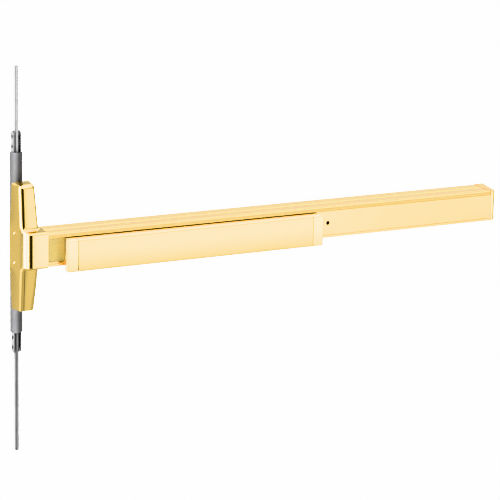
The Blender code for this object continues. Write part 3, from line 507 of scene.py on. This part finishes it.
# ------------------------------------------------------------------ centre casting
COVER_TOP, HALF_MID, HALF_ROOT, HALF_END = 101.9, 21.1, 19.55, 16.85
BLOCK_L, BLOCK_R, BLOCK_D = -12.9, 21.15, 56.7
SIDE_D = 14.2


def step3(a, lo, hi):
    t = np.clip((a - lo) / (hi - lo), 0.0, 1.0)
    return t * t * (3 - 2 * t)


def smax(a, b, r):
    """The larger of two distances, with the outer edge between them rounded to radius r."""
    u, v = np.maximum(a + r, 0), np.maximum(b + r, 0)
    return np.where((u > 0) & (v > 0), np.sqrt(u * u + v * v) - r, np.maximum(a, b))


def smin(a, b, r):
    return -smax(-a, -b, r)


def casting(x, d, z):
    """Signed distance, roughly, to the outside of the casting, with its back left open."""
    a = np.abs(z)
    half = HALF_ROOT - (a - 46.0) * (HALF_ROOT - HALF_END) / (COVER_TOP - 46.0)
    half = HALF_MID + step3(a, 27.0, 46.0) * (half - HALF_MID)
    over = np.maximum(0.0, a - 33.0)
    deep = 35.0 - over * 8.6 / 63.0
    fore = 14.2 - over * 2.3 / 63.0
    slope = (half - fore) / deep
    k = 1.0 / np.sqrt(1.0 + slope * slope)
    belly = 0.35 * (1.0 - ((d - 17.0) / 17.0) ** 2)
    left = (-x - (half - slope * d) - belly + 0.35) * k
    right = (x - (half - slope * d) - 0.5 - 0.030 * np.clip(d, 0, 60) + np.where(z < 0, 0.9 * step3(a, 60.0, 100.0), 0.0)) * k
    away = step3(a, 29.0, 36.0)
    front = (d - deep - 6.5 * (1.0 - step3(a, 23.0, 28.5)) + 0.0034 * x * x) / 1.009
    nose = np.where(z > 0, (a - COVER_TOP - 1.3 + np.maximum(d, 0) * 0.112 + 0.010 * np.maximum(0.0, -x) ** 2) / 1.01, a - COVER_TOP - 1.1)
    flank = (-x * 0.9659 + d * 0.2588) - 22.24 - 1.7 * away
    tip = np.where(z > 0, 5.5, 1.2)
    arm = smax(smax(left, flank, 4.0), front, 1.0 + 4.4 * away)
    arm = smax(smax(arm, right, 6.8), nose, np.where(z > 0, 2.2 + 3.6 * step3(x, 0.0, 12.0), 0.9))
    arm = smax(arm, smax(nose, front, tip), 0.3)
    top = 32.4 - 0.101 * (d - 21.5)
    crown = 0.0011 * np.maximum(0.0, 10.0 - x) ** 2
    block = smax(BLOCK_L - x, d - BLOCK_D + crown, 8.2)
    block = smax(block, (a - top) / 1.005, 3.0)
    block = np.maximum(block, x - BLOCK_R - 3.0)
    return smin(arm, block, 3.0 + 0.4 * step3(a, 27.0, 31.0))


def casting_solid(x, d, z):
    """The shell: its outside, less the cavity and the window that the bar enters by."""
    out = casting(x, d, z)
    window = smax(smax(14.0 - x, np.abs(z) - 22.0, 0.8), smax(3.2 - d, d - 48.0, 0.8), 0.8)
    return smax(out, -smin(out + 2.7, window, 0.6), 0.5)


def gradient(f, p, h=0.02):
    g = np.empty_like(p)
    for i in range(3):
        e = np.zeros(3)
        e[i] = h
        q, r = p + e, p - e
        g[:, i] = (f(q[:, 0], q[:, 1], q[:, 2]) - f(r[:, 0], r[:, 1], r[:, 2])) / (2 * h)
    return g


def surface_net(f, lo, hi, step):
    """Closed quad mesh of f = 0: one point in each crossed cell, then moved onto the surface."""
    ax = [np.arange(lo[i], hi[i] + step, step) for i in range(3)]
    v = f(*np.meshgrid(*ax, indexing='ij')).astype(np.float64)
    s = v < 0
    n = np.array(v.shape)
    corner = [(i, j, k) for i in (0, 1) for j in (0, 1) for k in (0, 1)]

    def part(arr, c):
        return arr[c[0]:n[0] - 1 + c[0], c[1]:n[1] - 1 + c[1], c[2]:n[2] - 1 + c[2]]
    count = sum(part(s, c).astype(np.int8) for c in corner)
    cells = (count > 0) & (count < 8)
    idx = -np.ones(cells.shape, np.int64)
    where = np.argwhere(cells)
    idx[cells] = np.arange(len(where))
    total = np.zeros((len(where), 3))
    hits = np.zeros(len(where))
    for a in corner:
        for i in range(3):
            if a[i]:
                continue
            b = list(a)
            b[i] = 1
            va, vb = part(v, a)[cells], part(v, tuple(b))[cells]
            m = (va < 0) != (vb < 0)
            t = np.where(m, va / np.where(va == vb, 1.0, va - vb), 0.0)
            p = where + np.array(a)
            p = p.astype(float)
            p[:, i] += t
            total += p * m[:, None]
            hits += m
    pts = total / hits[:, None] * step + np.array([ax[0][0], ax[1][0], ax[2][0]])
    for _ in range(5):
        g = gradient(f, pts)
        w = f(pts[:, 0], pts[:, 1], pts[:, 2]) / np.maximum(0.2, (g * g).sum(1))
        move = -g * w[:, None]
        size = np.linalg.norm(move, axis=1, keepdims=True)
        pts += move * np.minimum(1.0, 0.6 * step / np.maximum(size, 1e-9))
    quads = []
    for i in range(3):
        j, k = (i + 1) % 3, (i + 2) % 3
        sl0 = [slice(1, -1)] * 3
        sl0[i] = slice(0, n[i] - 1)
        sl1 = list(sl0)
        sl1[i] = slice(1, n[i])
        a, b = s[tuple(sl0)], s[tuple(sl1)]
        e = np.argwhere(a != b)
        first = a[a != b]
        base = e.copy()
        base[:, j] += 1
        base[:, k] += 1

        def cell(dj, dk):
            q = base.copy()
            q[:, j] += dj
            q[:, k] += dk
            return idx[q[:, 0], q[:, 1], q[:, 2]]
        loop = np.stack([cell(-1, -1), cell(0, -1), cell(0, 0), cell(-1, 0)], 1)
        loop[~first] = loop[~first][:, ::-1]
        quads.append(loop)
    return pts, np.concatenate(quads)


def build_casting():
    pts, quads = surface_net(casting_solid, (-24.5, -3.9, -104.3), (26.6, 59.3, 104.3), 0.95)
    bm = bmesh.new()
    vs = [bm.verts.new((p[0], -p[1], p[2])) for p in pts]
    for q in quads:
        try:
            bm.faces.new([vs[i] for i in q])
        except ValueError:
            pass
    for co, no in (((0, 0, 0), (0, 1, 0)), ((BLOCK_R, 0, 0), (1, 0, 0))):
        geom = list(bm.verts) + list(bm.edges) + list(bm.faces)
        out = bmesh.ops.bisect_plane(bm, geom=geom, plane_co=co, plane_no=no, clear_outer=True, dist=1e-5)
        rim = [e for e in out['geom_cut'] if isinstance(e, bmesh.types.BMEdge) and e.is_boundary]
        bmesh.ops.triangle_fill(bm, use_beauty=True, use_dissolve=False, edges=rim, normal=no)
    bmesh.ops.recalc_face_normals(bm, faces=bm.faces)
    open_edges = sum(1 for e in bm.edges if not e.is_manifold)
    print("casting", len(bm.verts), "points", len(bm.faces), "faces", open_edges, "open edges")
    ob = solid("centre_casting", bm, mats["cast"], 180.0)
    return ob


def finish_casting_normals(ob):
    """Shade by the true surface, with crisp edges where the casting was faced off."""
    me = ob.data
    co = np.empty(len(me.vertices) * 3)
    me.vertices.foreach_get("co", co)
    co = co.reshape(-1, 3) * 1000.0
    p = np.stack([co[:, 0], -co[:, 1], co[:, 2]], 1)
    g = gradient(casting_solid, p, 0.05)
    g /= np.maximum(1e-9, np.linalg.norm(g, axis=1, keepdims=True))
    g[:, 1] *= -1
    fn = np.empty(len(me.polygons) * 3)
    me.polygons.foreach_get("normal", fn)
    fn = fn.reshape(-1, 3)
    start = np.empty(len(me.polygons), np.int64)
    count = np.empty(len(me.polygons), np.int64)
    me.polygons.foreach_get("loop_start", start)
    me.polygons.foreach_get("loop_total", count)
    lv = np.empty(len(me.loops), np.int64)
    me.loops.foreach_get("vertex_index", lv)
    face = np.repeat(np.arange(len(start)), count)
    n = g[lv]
    f = fn[face]
    off = (n * f).sum(1) < 0.86
    n[off] = f[off]
    me.normals_split_custom_set(n.tolist())


casting_ob = build_casting()
carve(casting_ob, [('DIFFERENCE', turned([(0, -24), (2.75, -24), (2.75, -18.6), (2.4, -18.3), (2.4, -17.5),
                                          (1.7, -17.5), (1.7, -10), (0, -10)], 'X', (-SIDE_D, z), 32))
                   for z in (23.0, -25.0)], 180.0)
finish_casting_normals(casting_ob)
wear(casting_ob, "chassis", "polished_brass", "centre_cover")


# ------------------------------------------------------------------ mechanism case and its covers
CASE_X0, CASE_X1, CASE_HALF, CASE_DROP = 21.45, 870.3, 27.55, 0.0608
GROOVES = (23.6, 43.6)


def case_top(d):
    return CASE_HALF - CASE_DROP * d


sec = [(0, CASE_HALF, 0.8)]
for g in GROOVES:
    sec += [(g - 1.15, case_top(g - 1.15), 0.35), (g - 0.5, case_top(g) - 0.75, 0.3), (g + 0.5, case_top(g) - 0.75, 0.3),
            (g + 1.15, case_top(g + 1.15), 0.35)]
sec += [(51.2, case_top(51.2), 1.4), (52.65, 18.8, 0.7), (50.9, 18.8), (50.9, 18.3), (48.6, 18.3),
        (48.6, case_top(48.6) - 2.4), (2.4, case_top(2.4) - 2.4), (2.4, -CASE_HALF + 2.4), (48.6, -CASE_HALF + 2.4),
        (48.6, -20.9), (51.0, -20.9), (51.0, -23.2), (53.1, -23.2, 0.6), (53.1, -CASE_HALF, 1.3), (0, -CASE_HALF, 0.8)]
case_ob = solid("case_extrusion", bar_loft(rounded(flat(sec), 6), CASE_X0, CASE_X1, 0.45, 12), mats["case"])
carve(case_ob, [('DIFFERENCE', prism([(847, -6), (880, -6), (880, 3), (847, 3)], 'Z', -12.6, 12.6))])
# painted shade on the faces inside the case
case_ob.data.materials.append(mats["inside"])
for f in case_ob.data.polygons:
    c = f.center * 1000.0
    if -48.7 < c.y < -2.3 and abs(c.z) < CASE_HALF - 2.2 and CASE_X0 + 1 < c.x < CASE_X1 - 1 and c.z < case_top(-c.y) - 2.3:
        f.material_index = 1
wear(case_ob, "chassis", "brushed_brass", "mechanism_case")

fil = [(50.6, 17.9, 0.5), (50.6, -20.5, 0.5), (44.5, -20.5), (44.5, -18.6), (48.5, -18.6), (48.5, 16.0),
       (44.5, 16.0), (44.5, 17.9)]
wear(solid("recess_filler", bar_loft(rounded(flat(fil), 5), CASE_X0 + 0.05, 53.3, 0.15, 3), mats["recess"]),
     "chassis", "brushed_brass", "front_filler")

# the cover of the right half: a fine bead along its top and bottom edge, and the hole for the dogging key
cov = [(52.9, 18.1, 0.6), (53.0, -22.8, 0.6), (51.3, -22.8), (51.3, -20.5), (44.5, -20.5), (44.5, -18.6),
       (50.4, -18.6), (50.4, 16.0), (44.5, 16.0), (44.5, 17.9), (51.2, 17.9), (51.2, 18.1)]
right_ob = solid("right_cover", bar_loft(rounded(flat(cov), 5), 515.0, 870.0, 0.2, 8), mats["cover"])
carve(right_ob, [('DIFFERENCE', turned([(0, -56), (4.2, -56), (4.2, -53.3), (3.75, -52.6), (3.75, -48), (0, -48)],
                                       'Y', (537.5, -2.0), 40))])
wear(right_ob, "chassis", "brushed_brass", "cover_plate")

# ------------------------------------------------------------------ push pad and its caps
TOP, BOT, FRONT, WALL = 17.0, -36.2, 69.0, 2.3


def crown_front(points):
    """Belly the long front face by a hair, as a drawn section has."""
    out = []
    for y, z in points:
        if -y > FRONT - 3.9:
            k = (z - (TOP + BOT) / 2) / ((TOP - BOT) / 2)
            y += 0.42 * k * k * max(0.0, min(1.0, (-y - FRONT + 3.9) / 2.0))
        out.append((y, z))
    return out


def pad_outline(back, k=0.0):
    """Outside of the pad from its upper back edge round to its lower one, drawn in by k."""
    pts = [(back, TOP - k, 0.3), (57.5, TOP - k, 3.0), (FRONT - k, TOP - 2.3 - 0.8 * k, max(0.25, 1.7 - 0.7 * k))]
    pts += [(FRONT - k, TOP - 6 - 6.8 * j) for j in range(7)]
    pts += [(FRONT - k, BOT + k, max(0.3, 2.0 - 0.8 * k)), (50.0, BOT + k, 0.4)]
    return pts


pad_sec = pad_outline(52.8) + [(50.0, BOT + WALL, 0.5), (FRONT - WALL, BOT + WALL), (FRONT - WALL, TOP - WALL, 1.5),
                               (52.8, TOP - WALL, 0.5)]
pad_ob = solid("pad_extrusion", bar_loft(crown_front(rounded(flat(pad_sec), 8)), 68.55, 499.45, 0.3, 8), mats["pad"])
wear(pad_ob, "pad", "polished_brass", "push_pad")


def pad_cap(name, node, x_joint, side):
    """A cast cap: its front runs on past its body as a shallow lip with a soft outer edge."""
    x_in, x_out = x_joint + side * 0.5, x_joint + side * 19.8
    x_body = x_out - side * 5.4
    rows = []
    for x, k in ((x_in, 0.3), (x_in + side * 0.1, 0.1), (x_in + side * 0.3, 0.0), (x_in + side * 0.6, 0.0),
                 (x_out - side * 6.0, 0.0), (x_out - side * 2.2, 0.0), (x_out - side * 1.8, 0.0), (x_out - side * 1.1, 0.14), (x_out - side * 0.53, 0.53),
                 (x_out - side * 0.14, 1.1), (x_out, 1.8)):
        rows.append([(x, y, z) for y, z in crown_front(rounded(flat(pad_outline(52.8, k)), 8))])
    ob = solid(name, loft(rows), mats["cap"])
    back = [(x_body, -66.0), (x_out + side * 1, -66.0), (x_out + side * 1, -40), (x_body, -40)]
    hollow = rounded(flat([(40, BOT + WALL), (FRONT - WALL, BOT + WALL), (FRONT - WALL, TOP - WALL, 1.5),
                           (40, TOP - WALL)]), 5)
    lo, hi = sorted((x_joint - side * 1, x_body - side * 2.2))
    slot = [(lo, -66.3), (hi + 3 * (side > 0), -66.3), (hi + 3 * (side > 0), -40), (lo, -40)]
    if side < 0:
        slot = [(x_body - 2, -66.3), (x_joint + 1, -66.3), (x_joint + 1, -40), (x_body - 2, -40)]
    else:
        slot = [(x_joint - 1, -66.3), (x_body + 2, -66.3), (x_body + 2, -40), (x_joint - 1, -40)]
    r = 4.0
    corner = [(x_out + side * 1, BOT - 1), (x_out - side * r, BOT - 1), (x_out - side * r, BOT)]
    corner += [(x_out - side * r + side * r * math.sin(a), BOT + r - r * math.cos(a))
               for a in [math.pi / 2 * k / 10 for k in range(1, 11)]]
    corner += [(x_out + side * 1, BOT + r)]
    carve(ob, [('DIFFERENCE', prism(back, 'Z', BOT - 1, TOP + 1)), ('DIFFERENCE', prism(hollow, 'X', lo, hi)),
               ('DIFFERENCE', prism(slot, 'Z', -28.2, -20.3)), ('DIFFERENCE', prism(corner, 'Y', -75, -60))])
    neck = rounded(flat([(55.6, BOT + 2.7), (66.25, BOT + 2.7, 0.4), (66.25, TOP - 5.4, 0.6), (55.6, TOP - 2.9), (55.6, -20.3),
                         (65.85, -20.3), (65.85, -28.2), (55.6, -28.2)]), 4)
    carve(ob, [('UNION', prism(neck, 'X', *sorted((x_in + side * 1.5, x_joint - side * 2.5))))])
    ob.data.materials.append(mats["cap_side"])
    # painted shade on the cap's neck that goes into the case
    ob.data.materials.append(mats["inside"])
    for f in ob.data.polygons:
        if abs(f.normal.x) > 0.9 and abs(f.center.x * 1000 - x_body) < 0.1:
            f.material_index = 1
        elif (x_in - f.center.x * 1000) * side > 0.05:
            f.material_index = 2
    return wear(ob, "pad", "bright_brass", node)


pad_cap("cap_left", "pad_cap_left", 68.0, -1)
pad_cap("cap_right", "pad_cap_right", 500.0, 1)

# ------------------------------------------------------------------ end cap
E0, EL_ = CASE_X1 + 0.6, 19.7
END_R = 1.4


def end_row(k, drop, side, x_in=0.0):
    plan = rounded([(E0 + x_in, 0.0), (E0 + EL_ - k, 0.0, 1.2), (E0 + EL_ - 5.0 - k, 26.0, 40.0),
                    (E0 + 12.0 - k, 46.8 - 0.5 * k, 6.0), (E0 + 3.6, 53.2 - k, 3.0), (E0 + x_in, 53.4 - k)], 12)
    return [(x, -d, (case_top(d) + 0.65 - drop) if side > 0 else (-CASE_HALF - 0.25 + drop)) for x, d in plan]


turns = [(END_R * (1 - math.sin(q)), END_R * (1 - math.cos(q))) for q in [math.radians(a) for a in range(0, 91, 15)]]
end_ob = solid("end_casting", loft([end_row(k, h, -1) for k, h in turns] + [end_row(k, h, 1) for k, h in reversed(turns)]),
               mats["cast"])
cav = rounded([(E0 - 2, 2), (E0 + EL_ - 8.4, 2), (E0 + EL_ - 8.4, -24, 4.0), (E0 + 4.1, -47.0, 2.0),
               (E0 + 1.5, -50.6), (E0 - 2, -50.6)], 8)
carve(end_ob, [('DIFFERENCE', prism(cav, 'Z', -25.2, 22.0)),
               ('DIFFERENCE', prism(circle(-12, 0, 2.7, 32), 'X', E0 + 10, E0 + EL_ + 3)),
               ('DIFFERENCE', prism(circle(-12, 0, 4.6, 40), 'X', E0 + EL_ - 5.2, E0 + EL_ + 3))])
wear(end_ob, "chassis", "polished_brass", "end_cap")

# ------------------------------------------------------------------ tube, clevises and rods
TY = 19.4
wall = [(10.6, -144.6), (10.6, 144.6), (10.5, 145.6), (10.25, 146.4), (9.85, 146.9), (9.5, 147.0), (9.5, -147.0),
        (9.85, -146.9), (10.25, -146.4), (10.5, -145.6)]
tube_ob = solid("tube_drawn", turned(wall, 'Z', (0, TY), 96, ring=True), mats["tube"])
for s in (1, -1):
    lo, hi = sorted((s * 4.5, s * 22.5))
    carve(tube_ob, [('DIFFERENCE', prism(rounded([(-4.4, lo, 1.0), (4.4, lo, 1.0), (4.4, hi, 1.0), (-4.4, hi, 1.0)], 4),
                                         'Y', 5, 14))])
wear(tube_ob, "chassis", "zinc_steel", "rod_tube")

for tag, s in (("top", 1), ("bottom", -1)):
    body = "rod_group_" + tag
    h, w, f, b = 6.9, 1.6, TY - 6.0, TY + 7.6
    u = rounded([(-h, f, 0.3), (-h, b, 3.0), (h, b, 3.0), (h, f, 0.3), (h - w, f, 0.3), (h - w, b - w, 1.4),
                 (-h + w, b - w, 1.4), (-h + w, f, 0.3)], 7)
    e = s * 181.4
    z0, z1 = sorted((s * 13.0, e))
    clevis = solid("clevis_" + tag, prism(u, 'Z', z0, z1), mats["clevis"])
    tools = [('DIFFERENCE', prism([(b + 1, e - s * 6.5), (b + 1, e + s * 2), (b - 8.6, e + s * 2), (b - 6.6, e)], 'X', -9, 9)),
             ('DIFFERENCE', prism([(f - 1, e - s * 4.5), (f - 1, e + s * 2), (f + 6.6, e + s * 2), (f + 4.6, e)], 'X', -9, 9))]
    tools += [('DIFFERENCE', prism(circle(TY, s * z, 2.2, 28), 'X', -12, 12)) for z in (156.0, 172.0)]
    carve(clevis, tools)
    wear(clevis, body, "zinc_steel", "rod_clevis_" + tag)

    ra, rb = (100.0, 285.3) if s > 0 else (-100.0, -346.4)
    hexr = 8.0 / math.sqrt(3)

    def ring(z, r):
        pts = rounded([(r * math.cos(math.radians(60 * k)), TY + r * math.sin(math.radians(60 * k)),
                        0.11 * r) for k in range(6)], 3)
        return [(x, y, z) for x, y in pts]
    rod = solid("hex_rod_" + tag, loft([ring(ra, 0.8 * hexr), ring(ra + s * 0.3, 0.9 * hexr), ring(ra + s * 1.0, hexr),
                                        ring(rb - s * 1.1, hexr), ring(rb - s * 0.35, 0.9 * hexr),
                                        ring(rb, 0.8 * hexr)]), mats["rod_" + tag], 22.0)
    tools = [('DIFFERENCE', prism(circle(TY, s * z, 2.2, 28), 'X', -8, 8)) for z in (156.0, 172.0)]
    if s < 0:
        tools.append(('DIFFERENCE', turned([(0, -8), (3.6, -8), (1.8, -3.6), (1.8, 3.6), (3.6, 8), (0, 8)], 'X',
                                           (TY, -317.3), 28)))
    carve(rod, tools, 22.0)
    wear(rod, body, "zinc_steel", "rod_" + tag)
    for i, z in enumerate((156.0, 172.0)):
        riv = solid("rivet_%s_%d" % (tag, i + 1),
                    turned([(0, -8.5), (1.1, -8.42), (1.9, -8.15), (2.6, -7.75), (2.95, -7.4), (3.0, -7.2), (1.9, -7.2),
                            (1.9, 7.2), (3.0, 7.2), (2.95, 7.4), (2.6, 7.75), (1.9, 8.15), (1.1, 8.42), (0, 8.5)],
                           'X', (TY, s * z), 32), mats["rivet"])
        wear(riv, body, "zinc_steel", "clevis_rivet_%s_%d" % (tag, i + 1))

# ------------------------------------------------------------------ small fastenings that show
for tag, z in (("top", 23.0), ("bottom", -25.0)):
    ob = solid("oval_screw_" + tag, turned([(0, -19.15), (0.7, -19.1), (1.3, -18.95), (1.8, -18.65), (2.1, -18.3), (2.15, -17.9),
                                            (1.3, -17.8), (1.3, -10.4), (0, -10.4)], 'X', (-SIDE_D, z), 32), mats["cap"])
    carve(ob, [('DIFFERENCE', prism([(-SIDE_D - 2.5, z - 0.28), (-SIDE_D + 2.5, z - 0.28), (-SIDE_D + 2.5, z + 0.28),
                                     (-SIDE_D - 2.5, z + 0.28)], 'X', -21, -18.75))])
    wear(ob, "chassis", "bright_brass", "side_screw_" + tag)

# ------------------------------------------------------------------ the nodes that keep their CAD shape
# these get the near-black steel; on the dogging screw it is partly painted shade in its hole
DARK_NODES = ("dogging_screw", "lever_pin_left", "lever_pin_right", "return_spring", "lift_pin_top", "lift_pin_bottom",
              "lift_stud_top", "lift_stud_bottom", "rod_carrier_top", "rod_carrier_bottom")
for name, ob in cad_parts.items():
    ob.data.materials.clear()
    ob.data.materials.append(mats["dark" if name in DARK_NODES else "cap" if name == "end_cap_screw" else "steel"])
